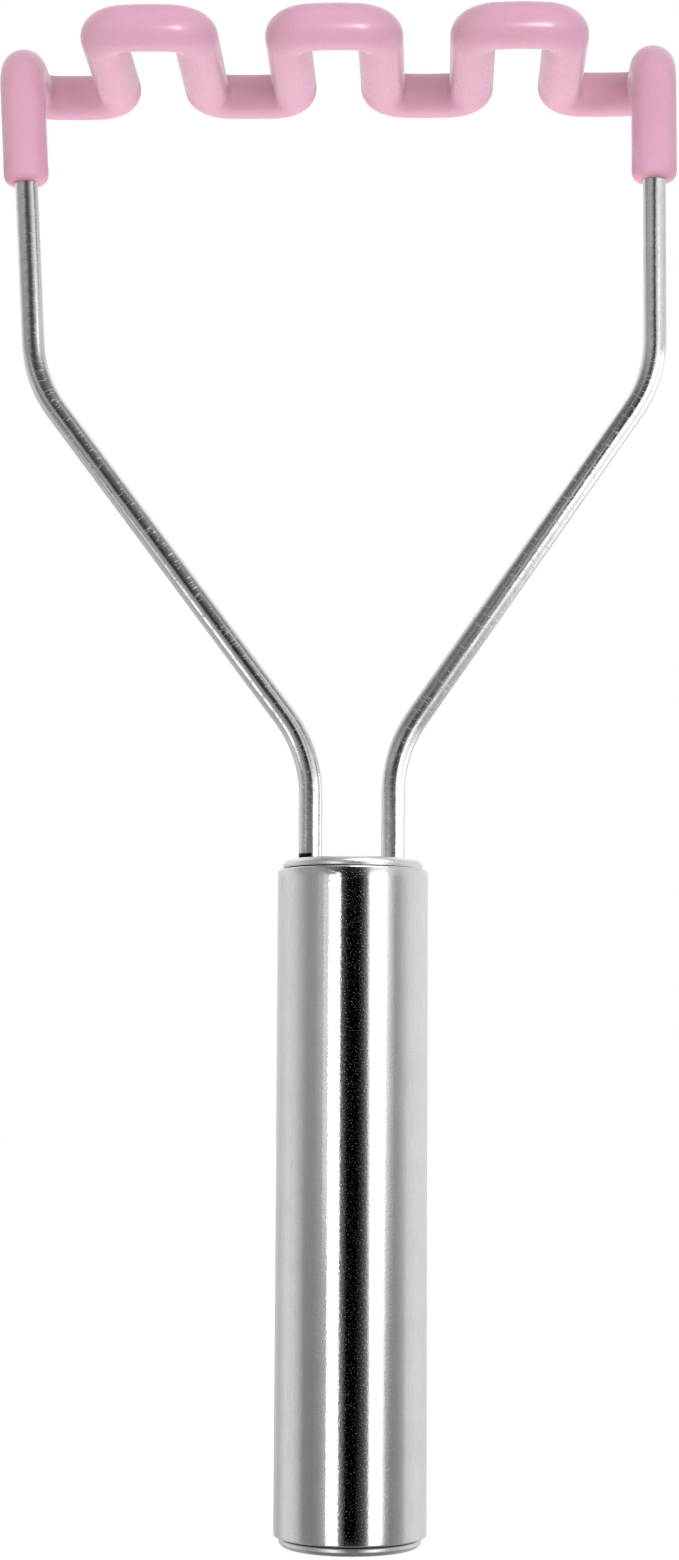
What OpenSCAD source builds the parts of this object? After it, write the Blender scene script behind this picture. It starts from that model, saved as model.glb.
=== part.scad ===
// Hand potato masher: a bent wire with a soft-coated serpentine head on a plain tube handle.
// It stands on its butt end. The axis of the handle is Z and the head is at the top.
// The head lies flat, across the axis. Its long side runs along X. Lengths are in mm.

/* [Handle] */
// outside diameter of the handle tube
handle_diameter = 25.4; // [22:0.1:32]
// length of the handle tube between the two caps
tube_length = 110; // [80:1:160]
// wall thickness of the handle tube
tube_wall = 1.0; // [0.8:0.1:1.5]
// radius of the rounding around each end of the tube
tube_edge_radius = 0.4; // [0.2:0.1:0.5]

/* [Caps] */
// diameter of the part of a cap that stands out of the tube
cap_diameter = 23.6; // [21:0.1:30]
// height of the part of a cap that stands out of the tube
cap_height = 1.7; // [1.2:0.1:2.5]
// radius of the rounding around the face of a cap
cap_edge_radius = 1.1; // [0.6:0.1:1.1]
// depth of the cap's skirt inside the tube
skirt_depth = 7; // [4:0.5:12]
// sheet thickness of the caps
cap_wall = 0.8; // [0.6:0.1:1]
// diameter of the two holes the wire passes through
wire_hole_diameter = 4.8; // [4.6:0.1:5.4]

/* [Wire] */
// diameter of the wire
wire_diameter = 4.0; // [3:0.1:4.2]
// distance between the two legs where they leave the handle
leg_gap = 14; // [13.6:0.1:14.4]
// sideways offset of the two legs in their holes
leg_offset = -0.25; // [-0.3:0.05:0.3]
// length of wire inside the handle below the face of the top cap
buried_length = 10; // [8:1:16]
// height of the shoulder bends above the face of the top cap
shoulder_height = 18.6; // [14:0.1:24]
// height of the elbow bends above the face of the top cap
elbow_height = 83.4; // [75:0.1:95]
// distance between the two elbow bends
elbow_span = 107.2; // [100:0.1:114]
// height of the head's centreline above the face of the top cap
head_height = 140; // [132:0.5:160]
// radius of the shoulder bends
shoulder_radius = 22.7; // [14:0.1:24]
// radius of the elbow bends
elbow_radius = 21.8; // [14:0.1:24]
// sideways lean of the wire frame above the shoulders, in degrees
frame_lean = 1.55; // [-2:0.05:2]

/* [Head] */
// distance between neighbouring runs of the head
run_pitch = 15.8; // [14:0.1:17]
// number of runs across the head
run_count = 6; // [4:2:6]
// distance between the centrelines of the front loops and the rear loops
head_depth = 34; // [28:0.5:44]
// bend radius of the loops, and of the bend from each leg into the head
loop_radius = 4.5; // [4.2:0.1:5.5]

/* [Coating] */
// outside diameter of the silicone coating
coat_diameter = 7.8; // [6.4:0.1:8]
// distance from the head's centreline down to the end of the coating on each leg
coat_drop = 20.8; // [12:0.1:28]
// radius of the rounded lip at each end of the coating
lip_radius = 1.1; // [0.4:0.1:1.1]

/* [Welds] */
// height of the weld fillet around the wire under the top cap
weld_height = 2.4; // [1.5:0.1:3]
// width of the weld fillet where it meets the cap
weld_width = 1.4; // [0.8:0.1:1.4]

/* [Hidden] */
$fn = 96;

steel_tone = [0.80, 0.81, 0.83];
wire_tone = [0.72, 0.72, 0.74];
silicone_tone = [0.87, 0.66, 0.75];
weld_tone = [0.55, 0.54, 0.53];

tube_radius = handle_diameter / 2;
bore_radius = tube_radius - tube_wall;
cap_radius = cap_diameter / 2;
hole_radius = wire_hole_diameter / 2;
wire_radius = wire_diameter / 2;
coat_radius = coat_diameter / 2;
tube_base = cap_height;
tube_top = tube_base + tube_length;
cap_face = tube_top + cap_height;
cap_underside = cap_face - cap_wall;
// play of a cap's skirt inside the tube
skirt_play = 0.03;
skirt_radius = bore_radius - skirt_play;
// overlap that makes a cutting shape pass right through a face
cut_over = 1;
// smallest length of straight wire worth drawing between two bends
least_straight = 0.01;
// how much thinner, on the radius, the wire and its coating are in a bend of a leg
bend_neck = 0.01;
// how far a straight reaches into such a bend
neck_overlap = 0.1;
skirt_inner_radius = skirt_radius - cap_wall;

// heights of the corners of the wire's centreline
wire_end_z = cap_face - buried_length;
shoulder_z = cap_face + shoulder_height;
elbow_z = cap_face + elbow_height;
head_z = cap_face + head_height;
coat_end_z = head_z - coat_drop;
half_head = head_depth / 2;
half_legs = (run_count + 1) * run_pitch / 2;

// Rounded to a hundredth, so that bends and straights meet exactly in the head.
function hundredth(v) = round(v * 100) / 100;
// Lean of the frame: how far the centreline has moved sideways at height z.
function lean_at(z) = hundredth(leg_offset - tan(frame_lean) * max(0, z - shoulder_z));
head_middle = lean_at(head_z);

// x of one leg at the head; side is -1 for the left leg and 1 for the right one
function leg_x(side) = head_middle + side * half_legs;
function elbow_x(side) = lean_at(elbow_z) + side * elbow_span / 2;
// x of run number i, counted from the left
function run_x(i) = head_middle + (i - (run_count - 1) / 2) * run_pitch;
// The runs alternate between front to back and back to front.
function run_start_y(i) = i % 2 == 0 ? half_head : -half_head;

// Corners of one leg from inside the handle up to the head, as [point, bend radius, neck].
function leg_corners(side) = [
    [[side * leg_gap / 2 + leg_offset, 0, wire_end_z], 0, 0],
    [[side * leg_gap / 2 + leg_offset, 0, shoulder_z], shoulder_radius, bend_neck],
    [[elbow_x(side), 0, elbow_z], elbow_radius, bend_neck],
    [[leg_x(side), 0, head_z], loop_radius, bend_neck],
    [[leg_x(side), half_head, head_z], loop_radius, 0]
];
function run_corners(i) = [
    [[run_x(i), run_start_y(i), head_z], loop_radius, 0],
    [[run_x(i), -run_start_y(i), head_z], loop_radius, 0]
];
function reversed(list) = [for (i = [len(list) - 1:-1:0]) list[i]];

wire_path = concat(
    leg_corners(-1),
    [for (i = [0:run_count - 1]) each run_corners(i)],
    reversed(leg_corners(1))
);

// Where the coating ends on a leg: the point of the leg's straight at the end height.
function coat_end_share() = (coat_end_z - elbow_z) / (head_z - elbow_z);
function coat_end_point(side) = [
    elbow_x(side) + (leg_x(side) - elbow_x(side)) * coat_end_share(),
    0,
    coat_end_z
];

function coat_leg_corners(side) = [
    [coat_end_point(side), 0, 0],
    [[leg_x(side), 0, head_z], loop_radius, bend_neck],
    [[leg_x(side), half_head, head_z], loop_radius, 0]
];
coat_path = concat(
    coat_leg_corners(-1),
    [for (i = [0:run_count - 1]) each run_corners(i)],
    reversed(coat_leg_corners(1))
);

function unit(v) = v / norm(v);
// half of the angle between the two straights that meet at corner i
function half_angle(path, i) =
    acos(unit(path[i - 1][0] - path[i][0]) * unit(path[i + 1][0] - path[i][0])) / 2;
// length that the bend takes from each of those straights
function bend_cut(path, i) =
    i == 0 || i == len(path) - 1 ? 0 : path[i][1] / tan(half_angle(path, i));
// distance from corner i at which the straight beside it ends
function straight_cut(path, i) =
    bend_cut(path, i) - (path[i][2] > 0 ? neck_overlap : 0);

// Columns x, y, z of a placement, with its origin.
function placement(x, y, z, o) = [
    [x[0], y[0], z[0], o[0]],
    [x[1], y[1], z[1], o[1]],
    [x[2], y[2], z[2], o[2]],
    [0, 0, 0, 1]
];

// Any direction square to v.
function square_to(v) = abs(v[2]) < 0.9 ? unit(cross(v, [0, 0, 1])) : unit(cross(v, [0, 1, 0]));

// Places children so that their Z axis runs from point a towards point b.
module along_line(a, b) {
    z = unit(b - a);
    x = square_to(z);
    multmatrix(placement(x, cross(z, x), z, a))
        children();
}

// Straight number i of a path, between the bends at its two ends.
module straight(path, i, radius) {
    a = path[i][0];
    b = path[i + 1][0];
    along = unit(b - a);
    start = a + along * straight_cut(path, i);
    stop = b - along * straight_cut(path, i + 1);
    if ((stop - start) * along > least_straight) {
        along_line(start, stop)
            cylinder(h = norm(stop - start), r = radius);
    }
}

// Bend at corner i of a path.
module bend(path, i, radius) {
    back = unit(path[i - 1][0] - path[i][0]);
    ahead = unit(path[i + 1][0] - path[i][0]);
    half = half_angle(path, i);
    centre = path[i][0] + unit(back + ahead) * path[i][1] / sin(half);
    x = unit(path[i][0] + back * bend_cut(path, i) - centre);
    y = -back;
    multmatrix(placement(x, y, cross(x, y), centre))
        rotate_extrude(angle = 180 - 2 * half)
            translate([path[i][1], 0])
                circle(r = radius - path[i][2]);
}

// Round bar of the given radius that follows a path.
module bar(path, radius) {
    for (i = [0:len(path) - 2])
        straight(path, i, radius);
    for (i = [1:len(path) - 2])
        bend(path, i, radius);
}

// Ring that, cut from the end of the coating on one leg, leaves a rounded lip.
module lip_cutter(side) {
    along_line(coat_end_point(side), [leg_x(side), 0, head_z])
        rotate_extrude()
            difference() {
                translate([coat_radius - lip_radius, -cut_over])
                    square([lip_radius + cut_over, lip_radius + cut_over]);
                translate([coat_radius - lip_radius, lip_radius])
                    circle(r = lip_radius);
            }
}

module handle_tube() {
    color(steel_tone)
        translate([0, 0, tube_base])
            rotate_extrude()
                tube_profile();
}

// Half section of the tube, with its two outer edges rounded.
module tube_profile() {
    translate([bore_radius, 0])
        square([tube_wall - tube_edge_radius, tube_length]);
    translate([bore_radius, tube_edge_radius])
        square([tube_wall, tube_length - 2 * tube_edge_radius]);
    for (height = [tube_edge_radius, tube_length - tube_edge_radius])
        translate([tube_radius - tube_edge_radius, height])
            circle(r = tube_edge_radius);
}

// Half section of a cap with its face up at z = cap_height and its skirt below z = 0.
module cap_profile() {
    difference() {
        union() {
            translate([0, -skirt_depth])
                square([skirt_radius, skirt_depth + cap_height]);
            square([cap_radius, cap_height - cap_edge_radius]);
            square([cap_radius - cap_edge_radius, cap_height]);
            translate([cap_radius - cap_edge_radius, cap_height - cap_edge_radius])
                circle(r = cap_edge_radius);
        }
        translate([0, -skirt_depth - cut_over])
            square([skirt_inner_radius, skirt_depth + cut_over + cap_height - cap_wall]);
    }
}

module cap_shell() {
    rotate_extrude()
        cap_profile();
}

module top_cap() {
    color(steel_tone)
        difference() {
            translate([0, 0, tube_top])
                cap_shell();
            for (side = [-1, 1])
                translate([side * leg_gap / 2, 0, tube_top - cut_over])
                    cylinder(h = cap_height + 2 * cut_over, r = hole_radius);
        }
}

module butt_cap() {
    color(steel_tone)
        translate([0, 0, tube_base])
            rotate([180, 0, 0])
                cap_shell();
}

module masher_wire() {
    color(wire_tone)
        bar(wire_path, wire_radius);
}

module silicone_coating() {
    color(silicone_tone)
        difference() {
            bar(coat_path, coat_radius);
            bar(wire_path, wire_radius);
            for (side = [-1, 1])
                lip_cutter(side);
        }
}

// Weld fillet around one leg, wide at the cap and narrow below.
module leg_weld(side) {
    translate([side * leg_gap / 2 + leg_offset, 0, cap_underside - weld_height])
        difference() {
            cylinder(h = weld_height, r1 = wire_radius + weld_width / 4, r2 = wire_radius + weld_width);
            translate([0, 0, -cut_over])
                cylinder(h = weld_height + 2 * cut_over, r = wire_radius);
        }
}

module leg_welds() {
    color(weld_tone)
        for (side = [-1, 1])
            leg_weld(side);
}

handle_tube();
top_cap();
butt_cap();
masher_wire();
silicone_coating();
leg_welds();
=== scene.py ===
import math
from collections import namedtuple

import bmesh
import bpy
from mathutils import Matrix, Vector


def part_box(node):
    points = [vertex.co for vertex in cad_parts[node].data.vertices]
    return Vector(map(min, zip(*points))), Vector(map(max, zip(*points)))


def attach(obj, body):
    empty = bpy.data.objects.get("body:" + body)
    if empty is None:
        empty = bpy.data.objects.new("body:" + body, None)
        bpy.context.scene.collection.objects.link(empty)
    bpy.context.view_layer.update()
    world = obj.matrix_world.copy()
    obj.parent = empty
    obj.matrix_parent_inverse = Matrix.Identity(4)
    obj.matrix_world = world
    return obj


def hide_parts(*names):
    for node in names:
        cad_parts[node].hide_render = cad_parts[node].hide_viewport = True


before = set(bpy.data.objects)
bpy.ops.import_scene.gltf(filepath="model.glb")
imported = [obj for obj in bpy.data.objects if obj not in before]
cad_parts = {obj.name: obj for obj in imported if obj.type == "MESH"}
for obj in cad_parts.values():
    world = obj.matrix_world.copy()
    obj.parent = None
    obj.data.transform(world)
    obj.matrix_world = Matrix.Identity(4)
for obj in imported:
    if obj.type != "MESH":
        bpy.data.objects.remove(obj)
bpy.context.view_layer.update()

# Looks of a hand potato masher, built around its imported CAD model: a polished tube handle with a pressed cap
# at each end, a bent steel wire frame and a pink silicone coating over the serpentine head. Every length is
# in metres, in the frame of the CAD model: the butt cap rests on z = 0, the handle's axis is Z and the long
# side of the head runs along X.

MM = 0.001
BODY = "root"

# ---------------------------------------------------------------- sizes

tube_low, tube_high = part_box("handle_tube")
top_low, top_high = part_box("top_cap")
wire_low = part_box("masher_wire")[0]
coat_low, coat_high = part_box("silicone_coating")

TUBE_RADIUS = tube_high.x
TUBE_WALL = 1.0 * MM
TUBE_EDGE = 0.3 * MM
CAP_RADIUS = top_high.x
CAP_HEIGHT = top_high.z - tube_high.z
CAP_EDGE = 1.1 * MM
CAP_FOOT_EDGE = 0.22 * MM
CAP_FOOT_ANGLE = 60
CAP_SHEET = 0.8 * MM
CAP_FACE = top_high.z
SKIRT_PLAY = 0.03 * MM
SKIRT_TOP = 0.04 * MM
SKIRT_DEPTH = tube_high.z - top_low.z
BUTT_SEAM = 0.36 * MM
TOP_SEAM = 0.34 * MM
SEAM_REACH = 0.05 * MM
HOLE_RADIUS = 2.4 * MM
HOLE_RIM = 0.18 * MM

WIRE_RADIUS = 2.0 * MM
COAT_RADIUS = 3.9 * MM
COAT_BORE = WIRE_RADIUS + 0.03 * MM
LIP_HEIGHT = 1.1 * MM
LIP_DOME = 0.75 * MM
LIP_SQUARENESS = 2.2
LIP_MOUTH = COAT_BORE + 0.1 * MM
LIP_BORE_INSET = 0.6 * MM
DOME_CLEARANCE = 1.3

HEAD_Z = coat_high.z - COAT_RADIUS
HEAD_X = (coat_low.x + coat_high.x) / 2
HALF_LEGS = (coat_high.x - coat_low.x) / 2 - COAT_RADIUS
HALF_HEAD = coat_high.y - COAT_RADIUS
COAT_END_Z = coat_low.z
RUNS = 6
PITCH = 2 * HALF_LEGS / (RUNS + 1)
LOOP_BEND = 4.5 * MM
BAR_BOW = 0.9 * MM
FAR_BAR_BOW = 0.35 * MM
BAR_BEND = 30 * MM
NEAR_RUN = HALF_HEAD - BAR_BOW
FAR_RUN = HALF_HEAD - FAR_BAR_BOW

LEG_HALF_GAP = 7.0 * MM
LEG_OFFSET = -0.25 * MM
SHOULDER_Z = CAP_FACE + 18.6 * MM
SHOULDER_BEND = 22.7 * MM
ELBOW_Z = CAP_FACE + 83.4 * MM
ELBOW_BEND = 21.8 * MM
ELBOW_HALF_SPAN = 53.6 * MM
FRAME_LEAN = math.radians(1.55)

# Where the wire's surface changes along it.
# Where the wire is coloured near black: the outer side of the left leg, just above the cap.
FOOT_PATCH_HEIGHT = 1.4 * MM
FOOT_PATCH_EDGE_X = -6.6 * MM
FOOT_PATCH_FADE = 0.5 * MM
DENTS_TOP = CAP_FACE + 18 * MM
DENTS_FULL = CAP_FACE + 4 * MM
WORK_START = SHOULDER_Z - 16 * MM
WORK_STOP = ELBOW_Z + 10 * MM
WORK_RAMP = 12 * MM
WORK_LEAST = 0.12
DULL_START = SHOULDER_Z - 2 * MM
DULL_RISE = 8 * MM
DULL_STOP = SHOULDER_Z + 46 * MM
DULL_FALL = 34 * MM

# Where the silicone's surface changes: towards the far side, towards the sleeve ends, and at their edges.
FAR_MATT_START = 7 * MM
FAR_MATT_FULL = 13 * MM
END_MATT_START = COAT_END_Z + 4 * MM
END_MATT_FULL = COAT_END_Z + 1.5 * MM
# The painted warm glow at the tips of the sleeves: how far in it starts to fade, and over how much.
LIP_GLOW_SHIFT = 0.6 * MM
LIP_GLOW_FADE = 0.5 * MM

# How finely the pieces are meshed.
LATHE_SIDES = 160
WIRE_SIDES = 40
COAT_SIDES = 56
WIRE_STEP = 1.2 * MM
COAT_STEP = 1.0 * MM
WIRE_TURN_STEP = math.radians(4)
COAT_TURN_STEP = math.radians(5)
TUBE_ROWS = 60
TUBE_EDGE_STEPS = 6
CAP_FACE_ROWS = 8
CAP_EDGE_STEPS = 10
CAP_FOOT_STEPS = 4
HOLE_SIDES = 64
HOLE_RIM_STEPS = 3
LIP_STEPS = 12
AXIS_RADIUS = 1e-9


# ---------------------------------------------------------------- routes of the wire and the coating

def lean_at(z):
    """How far the frame has leaned sideways at height z."""
    return LEG_OFFSET - math.tan(FRAME_LEAN) * max(0.0, z - SHOULDER_Z)


def elbow_point(side):
    """The corner below the upper stretch of a leg. side is -1 for the left leg and 1 for the right."""
    return Vector((lean_at(ELBOW_Z) + side * ELBOW_HALF_SPAN, 0, ELBOW_Z))


def leg_top(side):
    """The corner between a leg and the head."""
    return Vector((HEAD_X + side * HALF_LEGS, 0, HEAD_Z))


def coat_end(side):
    """The point of a leg's centreline where the coating ends."""
    low, high = elbow_point(side), leg_top(side)
    return low.lerp(high, (COAT_END_Z - low.z) / (high.z - low.z))


def leg_corners(side):
    """Corners of one leg from inside the handle to the head, as (point, bend radius)."""
    foot_x = side * LEG_HALF_GAP + LEG_OFFSET
    return [
        (Vector((foot_x, 0, wire_low.z)), 0),
        (Vector((foot_x, 0, SHOULDER_Z)), SHOULDER_BEND),
        (elbow_point(side), ELBOW_BEND),
        (leg_top(side), LOOP_BEND),
        (leg_top(side) + Vector((0, FAR_RUN, 0)), LOOP_BEND),
    ]


def head_end_corners(side):
    """The corners of a leg that lie in the coating, after the point where the coating ends."""
    return [(coat_end(side), 0)] + leg_corners(side)[3:]


def run_corners():
    """Corners of the runs across the head and of the slightly bowed bars between them, left to right."""
    corners = []
    for i in range(RUNS + 1):
        x = HEAD_X + (i - (RUNS - 1) / 2) * PITCH
        far = 1 if i % 2 == 0 else -1
        corners.append((Vector((x - PITCH / 2, far * HALF_HEAD, HEAD_Z)), BAR_BEND))
        if i < RUNS:
            ends = (FAR_RUN, -NEAR_RUN) if far > 0 else (-NEAR_RUN, FAR_RUN)
            corners += [(Vector((x, y, HEAD_Z)), LOOP_BEND) for y in ends]
    return corners


def wire_corners():
    return leg_corners(-1) + run_corners() + leg_corners(1)[::-1]


def coat_corners():
    return head_end_corners(-1) + run_corners() + head_end_corners(1)[::-1]


def route(corners, step, turn_step):
    """Samples of a centreline with rounded corners, as (point, direction)."""
    samples = []
    start = corners[0][0]
    for i in range(1, len(corners)):
        corner, radius = corners[i]
        ahead = (corner - corners[i - 1][0]).normalized()
        if i == len(corners) - 1:
            cut, turn = 0.0, 0.0
        else:
            onward = (corners[i + 1][0] - corner).normalized()
            turn = ahead.angle(onward)
            cut = radius * math.tan(turn / 2)
        stop = corner - ahead * cut
        pieces = max(1, round((stop - start).length / step))
        for k in range(pieces):
            samples.append((start.lerp(stop, k / pieces), ahead))
        if turn == 0.0:
            samples.append((stop, ahead))
            break
        axis = ahead.cross(onward).normalized()
        centre = stop + axis.cross(ahead) * radius
        arcs = max(2, math.ceil(turn / turn_step))
        for k in range(arcs):
            spin = Matrix.Rotation(turn * k / arcs, 3, axis)
            samples.append((centre + spin @ (stop - centre), spin @ ahead))
        start = corner + onward * cut
    return samples


# A sample of a route: its place, the way ahead, two directions square to that, and the length so far.
Station = namedtuple("Station", "point ahead side up length")


def stations_along(samples):
    """Stations whose square directions are carried along the route without twist."""
    stations = []
    side = samples[0][1].orthogonal().normalized()
    length = 0.0
    for k, (point, ahead) in enumerate(samples):
        if k:
            length += (point - samples[k - 1][0]).length
            side = samples[k - 1][1].rotation_difference(ahead) @ side
            side = (side - ahead * side.dot(ahead)).normalized()
        stations.append(Station(point, ahead, side, ahead.cross(side), length))
    return stations


# ---------------------------------------------------------------- mesh helpers

def finish_mesh(name, bm, node, material):
    """Turns a bmesh into a piece of the object that stands for a CAD node."""
    bmesh.ops.recalc_face_normals(bm, faces=bm.faces)
    mesh = bpy.data.meshes.new(name)
    bm.to_mesh(mesh)
    bm.free()
    for polygon in mesh.polygons:
        polygon.use_smooth = True
    piece = bpy.data.objects.new(name, mesh)
    bpy.context.scene.collection.objects.link(piece)
    mesh.materials.append(material)
    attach(piece, BODY)
    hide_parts(node)
    return piece


def loft(bm, rings, around, along, closed_end=False):
    """Joins rings of vertices into quads. UVs are in metres, from the girth and the place of each ring."""
    uv_layer = bm.loops.layers.uv.verify()
    sides = len(rings[0])
    pairs = list(zip(range(len(rings) - 1), range(1, len(rings))))
    if closed_end:
        pairs.append((len(rings) - 1, 0))
    for low, high in pairs:
        v0 = along[low]
        v1 = along[high] if high else v0 + (along[1] - along[0])
        for k in range(sides):
            n = (k + 1) % sides
            face = bm.faces.new((rings[low][k], rings[low][n], rings[high][n], rings[high][k]))
            u0, u1 = k / sides * around, (k + 1) / sides * around
            for loop, uv in zip(face.loops, ((u0, v0), (u1, v0), (u1, v1), (u0, v1))):
                loop[uv_layer].uv = uv


def ring(bm, centre, side, up, radius, sides):
    """One ring of vertices round a point, square to two directions."""
    angles = [2 * math.pi * k / sides for k in range(sides)]
    return [bm.verts.new(centre + (side * math.cos(a) + up * math.sin(a)) * radius) for a in angles]


def arc_points(centre, radius, start, stop, steps):
    """Points of an arc in a lathe profile, angles in degrees."""
    angles = [math.radians(start + (stop - start) * k / steps) for k in range(steps + 1)]
    return [(centre[0] + radius * math.cos(a), centre[1] + radius * math.sin(a)) for a in angles]


def lathe(bm, profile, sides):
    """Turns a closed profile of (radius, height) points round Z. A point on the axis becomes one vertex."""
    uv_layer = bm.loops.layers.uv.verify()
    girth = 2 * math.pi * max(r for r, z in profile)
    rings = []
    for r, z in profile:
        if r < AXIS_RADIUS:
            rings.append([bm.verts.new((0, 0, z))] * sides)
        else:
            rings.append(ring(bm, Vector((0, 0, z)), Vector((1, 0, 0)), Vector((0, 1, 0)), r, sides))
    place = 0.0
    count = len(profile)
    for i in range(count):
        n = (i + 1) % count
        on_axis_a, on_axis_b = profile[i][0] < AXIS_RADIUS, profile[n][0] < AXIS_RADIUS
        if on_axis_a and on_axis_b:
            continue
        width = math.hypot(profile[n][0] - profile[i][0], profile[n][1] - profile[i][1])
        for k in range(sides):
            m = (k + 1) % sides
            corners = [rings[i][k], rings[i][m], rings[n][m], rings[n][k]]
            uvs = [(k, place), (k + 1, place), (k + 1, place + width), (k, place + width)]
            if on_axis_a:
                corners, uvs = [corners[0]] + corners[2:], [uvs[0]] + uvs[2:]
            elif on_axis_b:
                corners, uvs = corners[:3], uvs[:3]
            face = bm.faces.new(corners)
            for loop, (u, v) in zip(face.loops, uvs):
                loop[uv_layer].uv = (u / sides * girth, v)
        place += width


def store_values(mesh, name, values):
    """Stores one number per vertex for a material to read."""
    layer = mesh.attributes.new(name, "FLOAT", "POINT")
    layer.data.foreach_set("value", values)


# ---------------------------------------------------------------- node helpers

# Most values of a noise lie between these.
NOISE_SPAN = (0.3, 0.7)


class Tree:
    """A small wrapper that makes the node trees below short to read."""

    def __init__(self, tree):
        self.tree = tree

    def add(self, kind, **settings):
        node = self.tree.nodes.new(kind)
        for key, value in settings.items():
            setattr(node, key, value)
        return node

    def link(self, source, target):
        self.tree.links.new(source, target)

    def feed(self, socket, value):
        if isinstance(value, bpy.types.NodeSocket):
            self.link(value, socket)
        else:
            socket.default_value = value

    def coordinate(self, output):
        return self.add("ShaderNodeTexCoord").outputs[output]

    def axes(self, vector):
        """The X, Y and Z of a vector, as outputs to be picked by name."""
        node = self.add("ShaderNodeSeparateXYZ")
        self.link(vector, node.inputs[0])
        return node.outputs

    def attribute(self, name):
        """A number stored per vertex by store_values."""
        return self.add("ShaderNodeAttribute", attribute_name=name).outputs["Fac"]

    def noise(self, vector, scale, detail=2.0, roughness=0.6):
        node = self.add("ShaderNodeTexNoise")
        self.link(vector, node.inputs["Vector"])
        for key, value in (("Scale", scale), ("Detail", detail), ("Roughness", roughness)):
            node.inputs[key].default_value = value
        return node.outputs["Fac"]

    def streaks(self, vector, across, along, roughness=0.6, turn=0.0):
        """A noise with one scale round the piece and another along it, turned by an angle in radians."""
        node = self.add("ShaderNodeMapping")
        self.link(vector, node.inputs["Vector"])
        node.inputs["Scale"].default_value = (across, along, 1)
        node.inputs["Rotation"].default_value = (0, 0, turn)
        return self.noise(node.outputs["Vector"], scale=1.0, roughness=roughness)

    def math(self, operation, a, b=0.0, c=0.0):
        node = self.add("ShaderNodeMath", operation=operation)
        for socket, value in zip(node.inputs, (a, b, c)):
            self.feed(socket, value)
        return node.outputs[0]

    def raised(self, value, mask, by):
        """The value, plus by where the mask is 1."""
        return self.math("MULTIPLY_ADD", mask, by, value)

    def span(self, value, low, high, to=(0.0, 1.0), smooth=False):
        """Maps low..high to the two numbers of to, and holds still beyond."""
        node = self.add("ShaderNodeMapRange", interpolation_type="SMOOTHSTEP" if smooth else "LINEAR")
        for key, number in (("Value", value), ("From Min", low), ("From Max", high),
                            ("To Min", to[0]), ("To Max", to[1])):
            self.feed(node.inputs[key], number)
        return node.outputs["Result"]

    def mix(self, factor, a, b):
        node = self.add("ShaderNodeMix", data_type="RGBA")
        self.feed(node.inputs["Factor"], factor)
        for socket, value in ((node.inputs[6], a), (node.inputs[7], b)):
            self.feed(socket, value if isinstance(value, bpy.types.NodeSocket) else (*value, 1.0))
        return node.outputs[2]

    def mottled(self, noise, dark, light):
        """A colour that wanders between two others with a noise."""
        return self.mix(self.span(noise, *NOISE_SPAN), dark, light)

    def tinted(self, colour, mask, other, strength):
        """The colour, turned towards another by strength where the mask is 1."""
        return self.mix(self.math("MULTIPLY", mask, strength), colour, other)

    def bump(self, height, depth, below=None):
        """A bump whose full height is depth metres, on top of another bump if one is given."""
        node = self.add("ShaderNodeBump")
        self.feed(node.inputs["Height"], height)
        node.inputs["Distance"].default_value = depth
        if below is not None:
            self.link(below, node.inputs["Normal"])
        return node.outputs["Normal"]


class Surface(Tree):
    """The node tree of one material."""

    def __init__(self, name):
        self.material = bpy.data.materials.new(name)
        self.material.use_nodes = True
        super().__init__(self.material.node_tree)
        self.shader = next(n for n in self.tree.nodes if n.type == "BSDF_PRINCIPLED")

    def set(self, **values):
        """Values that are the same all over the surface."""
        for key, value in values.items():
            self.shader.inputs[key.replace("_", " ")].default_value = value

    def finish(self, colour, roughness, normal):
        """Links what varies over the surface and returns the material."""
        for key, source in (("Base Color", colour), ("Roughness", roughness), ("Normal", normal)):
            self.link(source, self.shader.inputs[key])
        return self.material


# ---------------------------------------------------------------- materials

def handle_steel():
    """Polished tube: fine grain along it, tiny pits, scattered dull specks and faint cloudiness."""
    warm_grey, pale_grey = (0.67, 0.66, 0.65), (0.715, 0.715, 0.715)
    line_grey, speck_grey = (0.56, 0.56, 0.56), (0.6, 0.59, 0.57)
    n = Surface("handle_steel")
    n.set(Metallic=1.0)
    uv = n.coordinate("UV")
    grain = n.streaks(uv, across=5000, along=300)
    pits = n.noise(uv, scale=2000)
    specks = n.span(n.noise(uv, scale=4200, detail=1.0), 0.59, 0.69)
    cloud = n.noise(uv, scale=160, detail=3.0, roughness=0.55)
    steel = n.mottled(cloud, warm_grey, pale_grey)
    lined = n.mix(n.span(grain, 0.4, 0.7, to=(0.0, 0.5)), steel, line_grey)
    polish = n.span(cloud, *NOISE_SPAN, to=(0.05, 0.075))
    rough = n.math("ADD", polish, n.span(grain, 0.35, 0.65, to=(-0.01, 0.02)))
    normal = n.bump(pits, depth=9e-6, below=n.bump(grain, depth=1.5e-6))
    return n.finish(n.mix(specks, lined, speck_grey), n.raised(rough, specks, by=0.22), normal)


def cap_steel():
    """Pressed sheet: satin, with faint rings from the press, and painted shade down in the seam at the tube.
    """
    warm_grey, pale_grey = (0.68, 0.675, 0.66), (0.75, 0.75, 0.74)
    seam_shade_black = (0.03, 0.03, 0.03)
    n = Surface("cap_steel")
    n.set(Metallic=1.0)
    rings = n.streaks(n.coordinate("UV"), across=120, along=7000)
    grains = n.noise(n.coordinate("Object"), scale=2600, detail=3.0)
    # Painted shade: the part of the cap at and inside the tube's end is coloured near black, as the seam's
    # shadow.
    seam = n.span(n.attribute("seam_shade"), 0.1, 0.5)
    steel = n.mottled(grains, warm_grey, pale_grey)
    rough = n.span(grains, *NOISE_SPAN, to=(0.30, 0.38))
    normal = n.bump(grains, depth=5e-6, below=n.bump(rings, depth=1.2e-6))
    return n.finish(n.mix(seam, steel, seam_shade_black), rough, normal)


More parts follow.
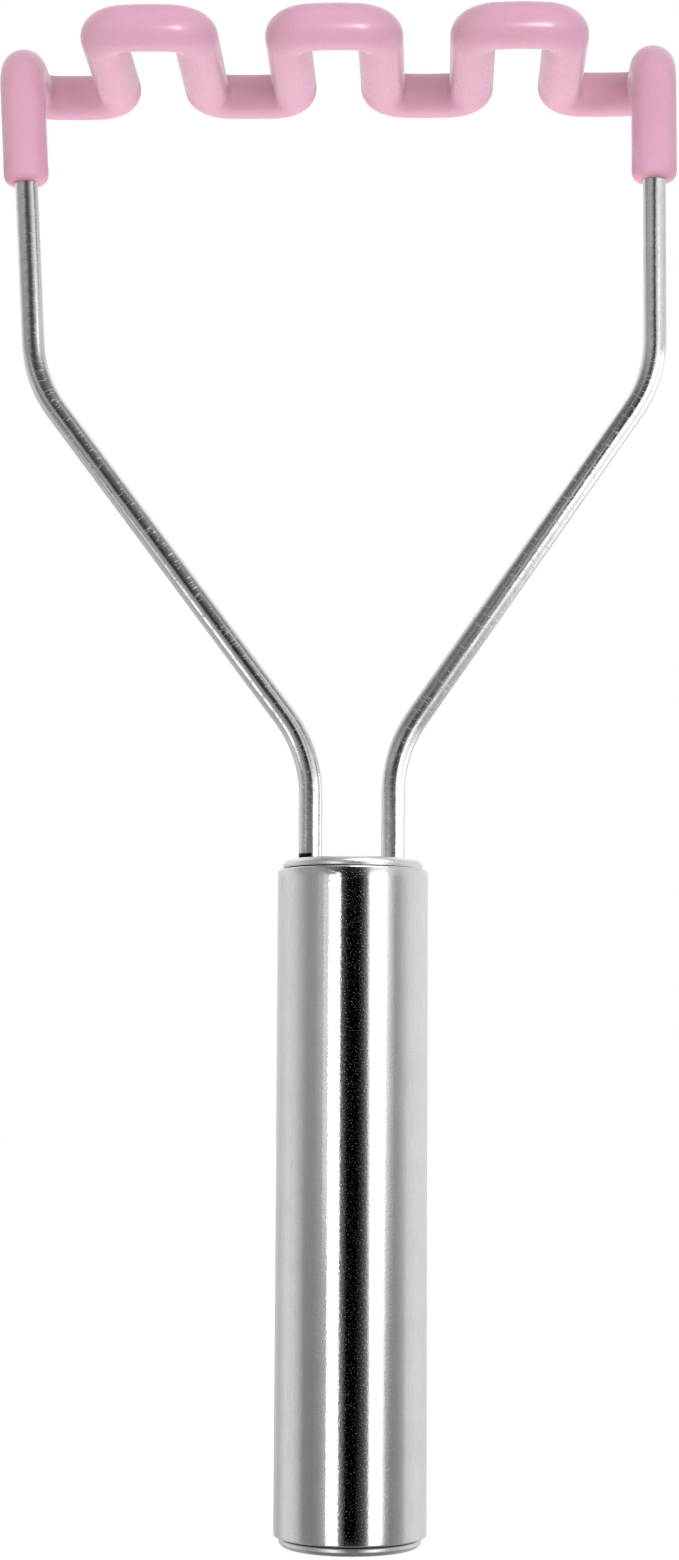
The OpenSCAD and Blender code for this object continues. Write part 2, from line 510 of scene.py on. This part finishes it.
def scratches(n, uv, turn, along, rarity):
    """A mask of short scratches that run at an angle to the wire."""
    edge_width = 0.06
    streaks = n.streaks(uv, across=420, along=along, roughness=0.5, turn=turn)
    return n.span(streaks, rarity, rarity + edge_width)


def foot_patch_mask(n, place):
    """1 on the outer side of the left leg just above the cap, and 0 elsewhere."""
    near_cap = n.span(place["Z"], CAP_FACE + FOOT_PATCH_HEIGHT, CAP_FACE + 0.7 * FOOT_PATCH_HEIGHT, smooth=True)
    outer_side = n.span(place["X"], FOOT_PATCH_EDGE_X, FOOT_PATCH_EDGE_X - FOOT_PATCH_FADE, smooth=True)
    return n.math("MULTIPLY", near_cap, outer_side)


def wire_steel():
    """Drawn wire with lines along it, scratches across it and fine tarnish. It is rubbed where the value
    worked is high, dull where dull is, a little dented at its feet, and has a near-black patch beside the left
    one."""
    warm_grey, pale_grey = (0.62, 0.605, 0.585), (0.71, 0.70, 0.69)
    dull_grey, rubbed_grey, mark_grey = (0.47, 0.45, 0.43), (0.55, 0.53, 0.51), (0.76, 0.75, 0.74)
    # A near-black patch on the outer side of the left leg, just above the cap.
    foot_patch_black = (0.02, 0.018, 0.016)
    n = Surface("wire_steel")
    n.set(Metallic=1.0)
    uv = n.coordinate("UV")
    place = n.axes(n.coordinate("Object"))
    drawn = n.streaks(uv, across=4000, along=110, roughness=0.55)
    patch = n.noise(uv, scale=300, detail=3.0)
    dents = n.noise(uv, scale=420, detail=3.0, roughness=0.55)
    worked = n.attribute("worked")
    rubbed = n.math("MULTIPLY", worked, n.span(patch, 0.38, 0.62, smooth=True))
    leftward = scratches(n, uv, turn=0.5, along=2200, rarity=0.62)
    rightward = scratches(n, uv, turn=-0.8, along=2600, rarity=0.63)
    slanted = n.math("MAXIMUM", leftward, rightward)
    marks = n.math("MULTIPLY", slanted, n.math("MULTIPLY_ADD", worked, 0.6, 0.4))
    dull = n.math("MULTIPLY", n.attribute("dull"), n.span(patch, 0.3, 0.6, to=(0.6, 1.0)))
    steel = n.mottled(patch, warm_grey, pale_grey)
    steel = n.tinted(steel, dull, dull_grey, strength=0.8)
    steel = n.tinted(steel, rubbed, rubbed_grey, strength=0.5)
    steel = n.tinted(steel, marks, mark_grey, strength=0.6)
    rough = n.raised(n.span(drawn, 0.35, 0.65, to=(0.11, 0.15)), rubbed, by=0.04)
    rough = n.raised(rough, dull, by=0.16)
    tarnish = n.span(n.noise(uv, scale=2600), 0.5, 0.7, to=(0.0, 0.09))
    rough = n.math("ADD", rough, tarnish)
    foot = n.span(place["Z"], DENTS_TOP, DENTS_FULL, smooth=True)
    normal = n.bump(n.math("MULTIPLY", dents, foot), depth=70e-6, below=n.bump(drawn, depth=2e-6))
    normal = n.bump(marks, depth=7e-6, below=n.bump(patch, depth=60e-6, below=normal))
    return n.finish(n.mix(foot_patch_mask(n, place), steel, foot_patch_black), n.raised(rough, marks, by=0.3), normal)


def pink_silicone():
    """Soft satin silicone with a very fine mould texture, more matt at its ends and on the far bars."""
    deep_pink, pale_pink, lip_glow_pink = (0.655, 0.345, 0.465), (0.685, 0.375, 0.495), (0.74, 0.33, 0.38)
    n = Surface("pink_silicone")
    n.set(IOR=1.43, Subsurface_Weight=0.15, Subsurface_Scale=0.0012, Subsurface_Radius=(1.0, 0.45, 0.55))
    where = n.coordinate("Object")
    place = n.axes(where)
    cloud = n.noise(where, scale=90, detail=3.0, roughness=0.5)
    skin = n.noise(where, scale=2400, detail=3.0)
    swell = n.noise(where, scale=260, roughness=0.5)
    # Painted light: the sleeve tips are tinted a warmer pink, a glow where light comes through the thin
    # silicone.
    pink = n.tinted(n.mottled(cloud, deep_pink, pale_pink), n.attribute("lip"), lip_glow_pink, strength=0.7)
    far_side = n.span(place["Y"], FAR_MATT_START, FAR_MATT_FULL, smooth=True)
    ends = n.span(place["Z"], END_MATT_START, END_MATT_FULL, smooth=True)
    satin = n.span(skin, *NOISE_SPAN, to=(0.26, 0.33))
    rough = n.raised(satin, n.math("MAXIMUM", far_side, ends), by=0.3)
    return n.finish(pink, rough, n.bump(skin, depth=3e-6, below=n.bump(swell, depth=20e-6)))


def weld_steel():
    """Dull weld inside the handle."""
    n = Surface("weld_steel")
    n.set(Metallic=1.0)
    beads = n.noise(n.coordinate("Object"), scale=1500, detail=3.0)
    colour = n.mix(beads, (0.35, 0.33, 0.31), (0.55, 0.54, 0.52))
    return n.finish(colour, n.span(beads, *NOISE_SPAN, to=(0.4, 0.6)), n.bump(beads, depth=60e-6))


# ---------------------------------------------------------------- pieces

def make_handle_tube(material):
    """The tube, with rounded outer edges. Rows of points keep its long wall's faces short."""
    low, high = tube_low.z, tube_high.z
    edge, outer, bore = TUBE_EDGE, TUBE_RADIUS, TUBE_RADIUS - TUBE_WALL
    wall_length = high - low - 2 * edge
    profile = [(bore, low)]
    profile += arc_points((outer - edge, low + edge), edge, -90, 0, TUBE_EDGE_STEPS)
    profile += [(outer, low + edge + wall_length * k / TUBE_ROWS) for k in range(1, TUBE_ROWS)]
    profile += arc_points((outer - edge, high - edge), edge, 0, 90, TUBE_EDGE_STEPS)
    profile += [(bore, high)]
    bm = bmesh.new()
    lathe(bm, profile, LATHE_SIDES)
    return finish_mesh("tube_shell", bm, "handle_tube", material)


def cap_profile():
    """A pressed cup, face up at z = CAP_HEIGHT, from the middle of its face to the middle underneath."""
    skirt = TUBE_RADIUS - TUBE_WALL - SKIRT_PLAY
    inner = skirt - CAP_SHEET
    roof = CAP_HEIGHT - CAP_SHEET
    flat = CAP_RADIUS - CAP_EDGE
    profile = [(flat * k / CAP_FACE_ROWS, CAP_HEIGHT) for k in range(CAP_FACE_ROWS)]
    profile += arc_points((flat, CAP_HEIGHT - CAP_EDGE), CAP_EDGE, 90, 0, CAP_EDGE_STEPS)
    foot_centre = (CAP_RADIUS - CAP_FOOT_EDGE, CAP_FOOT_EDGE)
    profile += arc_points(foot_centre, CAP_FOOT_EDGE, 0, -CAP_FOOT_ANGLE, CAP_FOOT_STEPS)
    profile += [(skirt, SKIRT_TOP), (skirt, -SKIRT_DEPTH), (inner, -SKIRT_DEPTH), (inner, roof), (0, roof)]
    return profile


def open_seam(bm, left, right):
    """Lifts the rim of a cap off the tube's end, by different amounts at its left and right."""
    skirt = TUBE_RADIUS - TUBE_WALL
    for vert in bm.verts:
        if math.hypot(vert.co.x, vert.co.y) > skirt:
            gap = left + (right - left) * (vert.co.x / CAP_RADIUS + 1) / 2
            vert.co.z = CAP_HEIGHT - (CAP_HEIGHT - vert.co.z) * (1 - gap / CAP_HEIGHT)


def drill_for(x):
    """A cylinder for cutting one wire hole through a cap's face."""
    bm = bmesh.new()
    bmesh.ops.create_cone(bm, cap_ends=True, segments=HOLE_SIDES, radius1=HOLE_RADIUS, radius2=HOLE_RADIUS,
                          depth=4 * CAP_HEIGHT, matrix=Matrix.Translation((x, 0, CAP_FACE)))
    mesh = bpy.data.meshes.new("cap_drill")
    bm.to_mesh(mesh)
    bm.free()
    return bpy.data.objects.new("cap_drill", mesh)


def on_hole_rim(vert, x):
    """Whether a vertex lies where the hole at x meets the face of the cap."""
    flat_within, round_within = 1e-7, 2e-5
    off_axis = math.hypot(vert.co.x - x, vert.co.y)
    return abs(vert.co.z - CAP_FACE) < flat_within and abs(off_axis - HOLE_RADIUS) < round_within


def pierced(bm, x):
    """Replaces a cap's bmesh by one with a wire hole at x, its rim rounded."""
    bmesh.ops.recalc_face_normals(bm, faces=bm.faces)
    mesh = bpy.data.meshes.new("cap_blank")
    bm.to_mesh(mesh)
    bm.free()
    blank = bpy.data.objects.new("cap_blank", mesh)
    drill = drill_for(x)
    for thing in (blank, drill):
        bpy.context.scene.collection.objects.link(thing)
    cut = blank.modifiers.new("hole", "BOOLEAN")
    cut.operation = "DIFFERENCE"
    cut.solver = "EXACT"
    cut.object = drill
    bpy.context.view_layer.update()
    done = blank.evaluated_get(bpy.context.evaluated_depsgraph_get()).to_mesh()
    out = bmesh.new()
    out.from_mesh(done)
    for thing in (blank, drill):
        bpy.data.objects.remove(thing, do_unlink=True)
    rim = [edge for edge in out.edges if all(on_hole_rim(vert, x) for vert in edge.verts)]
    bmesh.ops.bevel(out, geom=rim, offset=HOLE_RIM, segments=HOLE_RIM_STEPS, profile=0.5, affect="EDGES")
    return out


def make_cap(name, node, place, material, seam, holes=()):
    """A cap with its seam given as (left, right) widths, and wire holes at the given x."""
    bm = bmesh.new()
    lathe(bm, cap_profile(), LATHE_SIDES)
    open_seam(bm, *seam)
    bmesh.ops.transform(bm, matrix=place, verts=bm.verts)
    for x in holes:
        bm = pierced(bm, x)
    piece = finish_mesh(name, bm, node, material)
    low, high = tube_low.z - SEAM_REACH, tube_high.z + SEAM_REACH
    # Marks where the seam's painted shade goes: the part of the cap at and inside the tube's end.
    store_values(piece.data, "seam_shade", [float(low < vert.co.z < high) for vert in piece.data.vertices])
    return piece


def plateau(value, start, rise, stop, fall, least=0.0):
    """1 well inside start..stop and least outside, with straight slopes that are rise and fall long."""
    return min(1.0, max(least, min((value - start) / rise, (stop - value) / fall)))


def wire_work(point):
    """How strongly bending has marked the wire at a point: most on the bends and the slanted legs."""
    return plateau(point.z, WORK_START, WORK_RAMP, WORK_STOP, WORK_RAMP, WORK_LEAST)


def wire_dullness(point):
    """How dull the wire is at a point: only the lower half of the right slanted leg has lost its shine."""
    if point.x < 0:
        return 0.0
    return plateau(point.z, DULL_START, DULL_RISE, DULL_STOP, DULL_FALL)


def make_wire(material):
    """The whole wire as one swept tube with closed ends, which lie inside the handle."""
    stations = stations_along(route(wire_corners(), WIRE_STEP, WIRE_TURN_STEP))
    bm = bmesh.new()
    rings = [ring(bm, s.point, s.side, s.up, WIRE_RADIUS, WIRE_SIDES) for s in stations]
    loft(bm, rings, 2 * math.pi * WIRE_RADIUS, [s.length for s in stations])
    for end in (rings[0], rings[-1]):
        bm.faces.new(end)
    piece = finish_mesh("bent_wire", bm, "masher_wire", material)
    for name, amount_at in (("worked", wire_work), ("dull", wire_dullness)):
        amounts = [amount_at(s.point) for s in stations]
        store_values(piece.data, name, [amount for amount in amounts for k in range(WIRE_SIDES)])
    return piece


def dome_profile():
    """The outline of a domed end from the bore outwards, as (radius, distance in from the flat end)."""
    shape = [(COAT_BORE, LIP_BORE_INSET - LIP_DOME)]
    for k in range(LIP_STEPS + 1):
        angle = math.pi / 2 * (1 - k / LIP_STEPS)
        across = math.cos(angle) ** (2 / LIP_SQUARENESS) if k else 0.0
        out = math.sin(angle) ** (2 / LIP_SQUARENESS) if k < LIP_STEPS else 0.0
        radius = LIP_MOUTH + (COAT_RADIUS - LIP_MOUTH) * across
        shape.append((radius, LIP_HEIGHT - (LIP_HEIGHT + LIP_DOME) * out))
    return shape


def dome_sections(station, inward):
    """Ring sections of one domed end. inward is 1 at the start of the route and -1 at its end."""
    return [(station.point + station.ahead * (inward * inset), station.side, station.up, radius,
             station.length + inward * inset)
            for radius, inset in dome_profile()]


def lip_glow(length, total):
    """Where the warm glow is painted: 1 at the tips of the domed ends, and 0 on the rest of the coating."""
    depth = min(length, total - length)
    return min(1.0, max(0.0, 1.0 - (depth + LIP_GLOW_SHIFT) / LIP_GLOW_FADE))


def make_coating(material):
    """The sleeve with its domed ends, as one closed loft: along the outside and back through the bore."""
    stations = stations_along(route(coat_corners(), COAT_STEP, COAT_TURN_STEP))
    total = stations[-1].length
    clear_of_domes = DOME_CLEARANCE * LIP_HEIGHT
    middle = [s for s in stations if clear_of_domes < s.length < total - clear_of_domes]
    outside = [(s.point, s.side, s.up, COAT_RADIUS, s.length) for s in middle]
    bore = [(s.point, s.side, s.up, COAT_BORE, s.length) for s in middle]
    first_end, last_end = dome_sections(stations[0], 1), dome_sections(stations[-1], -1)
    sections = first_end + outside + last_end[::-1] + bore[::-1]
    bm = bmesh.new()
    rings = [ring(bm, point, side, up, radius, COAT_SIDES) for point, side, up, radius, length in sections]
    along = [length for point, side, up, radius, length in sections]
    loft(bm, rings, 2 * math.pi * COAT_RADIUS, along, closed_end=True)
    piece = finish_mesh("silicone_sleeve", bm, "silicone_coating", material)
    # The painted warm glow at the sleeve tips.
    store_values(piece.data, "lip", [lip_glow(length, total) for length in along for k in range(COAT_SIDES)])
    return piece


# ---------------------------------------------------------------- studio

CAMERA_TARGET = Vector((-2.36 * MM, 0, 127.17 * MM))
CAMERA_DISTANCE = 475.94 * MM
CAMERA_PITCH = math.radians(6.2)
CAMERA_YAW = math.radians(-1.9)
CAMERA_ROLL = math.radians(0.3)
CAMERA_LENS = 64.6
CAMERA_SENSOR = 36.0
CAMERA_CLIP = (0.01, 20)


def make_camera():
    """The camera, looking slightly up at the object from the front, as the photograph does."""
    ahead = Vector((math.sin(CAMERA_YAW) * math.cos(CAMERA_PITCH),
                    math.cos(CAMERA_YAW) * math.cos(CAMERA_PITCH),
                    math.sin(CAMERA_PITCH)))
    level = Vector((math.cos(CAMERA_YAW), -math.sin(CAMERA_YAW), 0))
    over = level.cross(ahead)
    right = level * math.cos(CAMERA_ROLL) + over * math.sin(CAMERA_ROLL)
    up = over * math.cos(CAMERA_ROLL) - level * math.sin(CAMERA_ROLL)
    data = bpy.data.cameras.new("camera")
    data.lens = CAMERA_LENS
    data.sensor_width = CAMERA_SENSOR
    data.clip_start, data.clip_end = CAMERA_CLIP
    camera = bpy.data.objects.new("camera", data)
    bpy.context.scene.collection.objects.link(camera)
    turn = Matrix((right, up, -ahead)).transposed().to_4x4()
    camera.matrix_world = Matrix.Translation(CAMERA_TARGET - ahead * CAMERA_DISTANCE) @ turn
    bpy.context.scene.camera = camera


# The studio as the object sees it, ring by ring: (elevation, [(azimuth, brightness), ...]), both in degrees.
# Azimuth 0 is towards the camera and 90 is to the right. Near the level it has a dark gap in front, a
# bright soft box to the right of that, grey walls beside and pale ones behind. A broad soft box hangs high in
# front, and it is dim underneath. The brightnesses were set for the bands in the handle and wire.
STUDIO = (
    (-90, [(-180, 0.15), (180, 0.15)]),
    (-60, [(-180, 0.1), (-90, 0.3), (-30, 0.5), (0, 0.3), (40, 0.3), (90, 0.35), (180, 0.1)]),
    (-32, [(-180, 0.4), (-133, 0.7), (-91, 0.5), (-60, 0.35), (-25, 0.3), (-8, 0.08), (15, 0.1), (30, 0.5),
           (45, 0.6), (62, 0.35), (94, 0.45), (134, 0.7), (180, 0.4)]),
    (-9, [(-180, 0.75), (-136, 0.6), (-113, 0.93), (-96, 0.88), (-84, 0.66), (-74, 0.32), (-57, 0.28),
          (-46, 0.35), (-37, 0.6), (-28, 0.5), (-20, 0.35), (-14, 0.3), (-10, 0.1), (-6, 0), (8, 0),
          (14, 0.02), (22, 0.1), (28, 0.35), (31, 2.2), (46, 2.4), (51, 1.2), (56, 0.5), (64, 0.3),
          (76, 0.36), (86, 0.5), (94, 0.85), (116, 0.97), (140, 0.9), (180, 0.75)]),
    (4, [(-180, 0.8), (-136, 0.8), (-113, 0.91), (-96, 0.8), (-82, 0.56), (-69, 0.4), (-57, 0.42),
         (-46, 0.65), (-37, 0.6), (-28, 0.3), (-20, 0.15), (-15, 0.1), (-10, 0.03), (-6, 0), (5, 0),
         (12, 0), (18, 0.06), (24, 0.3), (27, 1.2), (31, 2.4), (50, 2.4), (56, 1.3), (62, 0.85),
         (70, 0.46), (76, 0.5), (86, 0.7), (99, 0.92), (116, 0.98), (139, 1.0), (180, 0.8)]),
    (11, [(-180, 1.2), (-128, 1.2), (-87, 0.45), (-59, 0.42), (-33, 0.2), (-12, 0.02), (12, 0.03),
          (22, 0.3), (34, 1.0), (50, 1.3), (61, 0.9), (75, 0.75), (95, 0.9), (130, 1.0), (180, 1.2)]),
    (18, [(-180, 1.1), (-125, 0.9), (-85, 0.43), (-58, 0.55), (-34, 0.62), (-22, 0.45), (-10, 0.17),
          (5, 0.1), (18, 0.12), (36, 0.4), (60, 1.15), (90, 0.9), (130, 0.75), (180, 1.1)]),
    (38, [(-180, 1.3), (-135, 1.3), (-105, 0.8), (-82, 0.35), (-45, 0.12), (-20, 0.2), (10, 0.2),
          (30, 0.18), (50, 0.22), (85, 0.32), (110, 0.8), (138, 1.25), (180, 1.3)]),
    (52, [(-180, 1.3), (-130, 0.9), (-100, 0.3), (-60, 0.15), (-30, 0.5), (0, 1.4), (30, 1.4), (60, 0.5),
          (90, 0.4), (130, 1.2), (180, 1.3)]),
    (90, [(-180, 0.6), (180, 0.6)]),
)
# Dim parts of the studio are this much warmer than neutral, bright parts as much cooler.
STUDIO_TINT = 0.02
NEUTRAL_BRIGHTNESS = 0.7


def studio_ring(n, round_place, levels, brightest):
    """The colours of one ring of the studio, as a ramp round it."""
    ramp = n.add("ShaderNodeValToRGB")
    n.link(round_place, ramp.inputs["Fac"])
    stops = ramp.color_ramp.elements
    while len(stops) > 1:
        stops.remove(stops[-1])
    for k, (angle, level) in enumerate(levels):
        place = (angle + 180) / 360
        stop = stops[0] if k == 0 else stops.new(place)
        stop.position = place
        grey = level / brightest
        warmth = STUDIO_TINT * max(-1.0, 1.0 - level / NEUTRAL_BRIGHTNESS)
        stop.color = (grey * (1 + warmth), grey, grey * (1 - warmth), 1)
    return ramp.outputs["Color"]


def make_world():
    """A studio drawn by azimuth and elevation for light and reflections, and plain white for the camera."""
    world = bpy.data.worlds.new("studio")
    bpy.context.scene.world = world
    world.use_nodes = True
    n = Tree(world.node_tree)
    n.tree.nodes.clear()
    direction = n.axes(n.coordinate("Generated"))
    azimuth = n.math("ARCTAN2", direction["X"], n.math("MULTIPLY", direction["Y"], -1.0))
    elevation = n.math("ARCSINE", direction["Z"])
    round_place = n.span(azimuth, math.radians(-180), math.radians(180))
    brightest = max(level for height, levels in STUDIO for angle, level in levels)
    sky, height_below = None, None
    for height, levels in STUDIO:
        band = studio_ring(n, round_place, levels, brightest)
        if sky is None:
            sky = band
        else:
            rise = n.span(elevation, math.radians(height_below), math.radians(height), smooth=True)
            sky = n.mix(rise, sky, band)
        height_below = height
    around = n.add("ShaderNodeBackground")
    around.inputs["Strength"].default_value = brightest
    n.link(sky, around.inputs["Color"])
    plain = n.add("ShaderNodeBackground")
    plain.inputs["Color"].default_value = (1, 1, 1, 1)
    choose = n.add("ShaderNodeMixShader")
    n.link(n.add("ShaderNodeLightPath").outputs["Is Camera Ray"], choose.inputs[0])
    n.link(around.outputs[0], choose.inputs[1])
    n.link(plain.outputs[0], choose.inputs[2])
    n.link(choose.outputs[0], n.add("ShaderNodeOutputWorld").inputs[0])


def direction_to(azimuth, elevation):
    """Unit vector towards an azimuth and elevation in degrees, measured as in STUDIO."""
    a, e = math.radians(azimuth), math.radians(elevation)
    return Vector((math.sin(a) * math.cos(e), -math.cos(a) * math.cos(e), math.sin(e)))


def make_lamp(name, target, azimuth, elevation, distance, size, power, shape="ELLIPSE"):
    """An area lamp of size (width, height) that looks at a point from a direction given as in STUDIO."""
    data = bpy.data.lights.new(name, "AREA")
    data.shape = shape
    data.size, data.size_y = size
    data.energy = power
    lamp = bpy.data.objects.new(name, data)
    bpy.context.scene.collection.objects.link(lamp)
    away = direction_to(azimuth, elevation)
    lamp.location = Vector(target) + away * distance
    lamp.rotation_euler = away.to_track_quat("Z", "Y").to_euler()
    lamp.visible_camera = False
    return lamp


HEAD_CENTRE = (0, 0, HEAD_Z)
FILL_DISTANCE = 0.8
SMALL_FILL = (0.25, 0.25)
LARGE_FILL = (0.5, 0.5)
# Lamps aimed at the head from FILL_DISTANCE: name, azimuth, elevation, size and power.
FILLS = (
    ("fill_left", -30, 0, SMALL_FILL, 1.3),
    ("fill_right", 25, 0, SMALL_FILL, 1.3),
    ("fill_front", 0, -18, SMALL_FILL, 2.2),
    ("fill_above", 0, 75, LARGE_FILL, 0.3),
    ("table_under", 180, -72, LARGE_FILL, 2.0),
    ("table_behind", 180, -42, LARGE_FILL, 4.8),
)

# Lamps that show only in reflections: name, target, azimuth, elevation, distance, size, power and shape.
SILICONE_GLINT = ("glint", HEAD_CENTRE, 18, -16, 0.7, (0.26, 0.13), 3.2)
HANDLE_STRIPS = (
    ("strip_left", (0, 0, -0.15), -25.5, 0, 0.8, (0.26, 0.72), 0.9, "RECTANGLE"),
    ("strip_edge", (0, 0, 0.11), -30, 0, 0.8, (0.36, 0.2), 0.08, "RECTANGLE"),
)
CAP_STRIP = ("cap_right", (0, 0, CAP_FACE), 30, 38, 0.3, (0.3, 0.26), 0.6)
WIRE_STRIPS = (
    ("wire_right", (0, 0, 0.15), 88, -5, 0.5, (0.72, 0.34), 0.75, "RECTANGLE"),
    ("wire_left", (-0.03, 0, 0.15), -60, -22, 0.3, (0.16, 0.09), 0.026, "RECTANGLE"),
    ("wire_feet", (0, 0, 0.129), -2, 0, 0.12, (0.09, 0.021), 0.0016, "RECTANGLE"),
    ("wire_upper", (0.052, 0, 0.214), 28, 17, 0.1, (0.075, 0.06), 0.0075),
    ("wire_slanted", (0.03, 0, 0.165), 6, 10, 0.1, (0.04, 0.06), 0.0035),
    ("wire_low", (-0.018, 0, 0.143), -58, -21, 0.12, (0.06, 0.045), 0.0055),
)


def make_fills():
    """Soft lamps kept out of reflections: round the camera, overhead, and the table's glow from below."""
    for name, azimuth, elevation, size, power in FILLS:
        lamp = make_lamp(name, HEAD_CENTRE, azimuth, elevation, FILL_DISTANCE, size, power)
        lamp.visible_glossy = False


def reflected_only(settings, receivers):
    """Makes a lamp that shows only as a reflection, and only in the given pieces."""
    lamp = make_lamp(*settings)
    lamp.visible_diffuse = False
    only = bpy.data.collections.new(lamp.name + "_receivers")
    for piece in receivers:
        only.objects.link(piece)
    lamp.light_linking.receiver_collection = only


def make_handle_strips(tube, cap_top, cap_bottom):
    """Soft boxes on the left of the camera, and one over its right shoulder for the top cap."""
    for settings in HANDLE_STRIPS:
        reflected_only(settings, [tube, cap_top, cap_bottom])
    reflected_only(CAP_STRIP, [tube, cap_top])


def make_wire_strips(wire):
    """Soft boxes for the wire: a large one on the right, and small ones that each light one stretch."""
    for settings in WIRE_STRIPS:
        reflected_only(settings, [wire])


FLOOR_RADIUS = 3.0
FLOOR_SIDES = 96
FLOOR_DROP = 0.1 * MM
FLOOR_GLOW = 0.8


def make_floor():
    """A pale glowing floor, as bright as the backdrop, so that the two run together. It doesn't light the
    object, show in it or cast a shadow: the studio and the fills stand in for its glow."""
    bm = bmesh.new()
    bmesh.ops.create_circle(bm, cap_ends=True, segments=FLOOR_SIDES, radius=FLOOR_RADIUS)
    mesh = bpy.data.meshes.new("floor")
    bm.to_mesh(mesh)
    bm.free()
    floor = bpy.data.objects.new("floor", mesh)
    floor.location.z = -FLOOR_DROP
    bpy.context.scene.collection.objects.link(floor)
    n = Surface("floor_paper")
    tooth = n.noise(n.coordinate("Object"), scale=900, detail=3.0)
    n.link(n.mix(tooth, (0.44, 0.44, 0.44), (0.48, 0.48, 0.48)), n.shader.inputs["Base Color"])
    n.set(Roughness=0.95, Specular_IOR_Level=0.1, Emission_Strength=FLOOR_GLOW, Emission_Color=(1, 1, 1, 1))
    mesh.materials.append(n.material)
    floor.visible_glossy = False
    floor.visible_diffuse = False
    floor.visible_shadow = False


# ---------------------------------------------------------------- assembly

make_camera()
make_world()
make_floor()
bpy.context.scene.view_settings.view_transform = "Standard"

tube = make_handle_tube(handle_steel())
caps = cap_steel()
face_up = Matrix.Translation((0, 0, tube_high.z))
face_down = Matrix.Translation((0, 0, tube_low.z)) @ Matrix.Rotation(math.pi, 4, "X")
wire_holes = (-LEG_HALF_GAP, LEG_HALF_GAP)
cap_above = make_cap("cap_above", "top_cap", face_up, caps, (TOP_SEAM, 0), wire_holes)
cap_below = make_cap("cap_below", "butt_cap", face_down, caps, (BUTT_SEAM, BUTT_SEAM))
wire = make_wire(wire_steel())
sleeve = make_coating(pink_silicone())
# The silicone is left out of the reflections in the steel.
sleeve.visible_glossy = False
make_fills()
reflected_only(SILICONE_GLINT, [sleeve])
make_handle_strips(tube, cap_above, cap_below)
make_wire_strips(wire)
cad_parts["leg_welds"].data.materials[0] = weld_steel()
